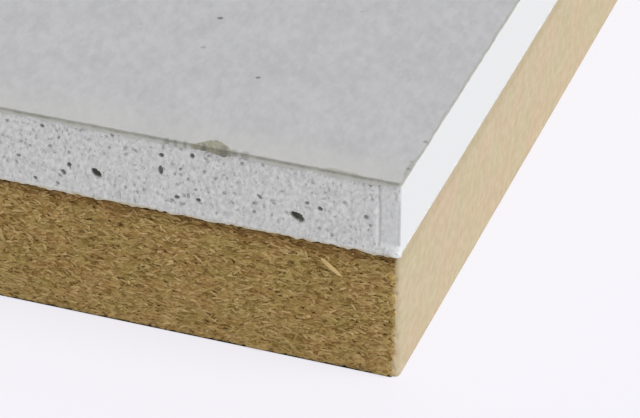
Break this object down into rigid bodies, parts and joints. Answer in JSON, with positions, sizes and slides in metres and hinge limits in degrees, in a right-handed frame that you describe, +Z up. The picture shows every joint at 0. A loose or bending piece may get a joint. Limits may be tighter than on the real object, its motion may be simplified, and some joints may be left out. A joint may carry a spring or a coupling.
{
  "type": "acoustic laminate panel of gypsum board on wood fibre board",
  "caption": "Rectangular acoustic building panel: paper-faced gypsum board bonded to a thicker wood fibre board, square cut on all sides.",
  "frame": {"origin": "middle of the underside of the wood fibre board, on the plane that the panel lies on", "axes": "+X along the panel's length, +Y across its width, +Z up through its thickness, from the fibre board to the grey face paper"},
  "size_m": [1.2, 0.6, 0.0345],
  "materials": {
    "wood_fibre": "matte",
    "back_paper": "matte",
    "gypsum": "matte",
    "face_paper": "matte"
  },
  "bodies": {
    "root": {"wood_fibre_board": "wood_fibre", "back_liner": "back_paper", "gypsum_core": "gypsum", "face_liner": "face_paper"}
  },
  "joints": []
}
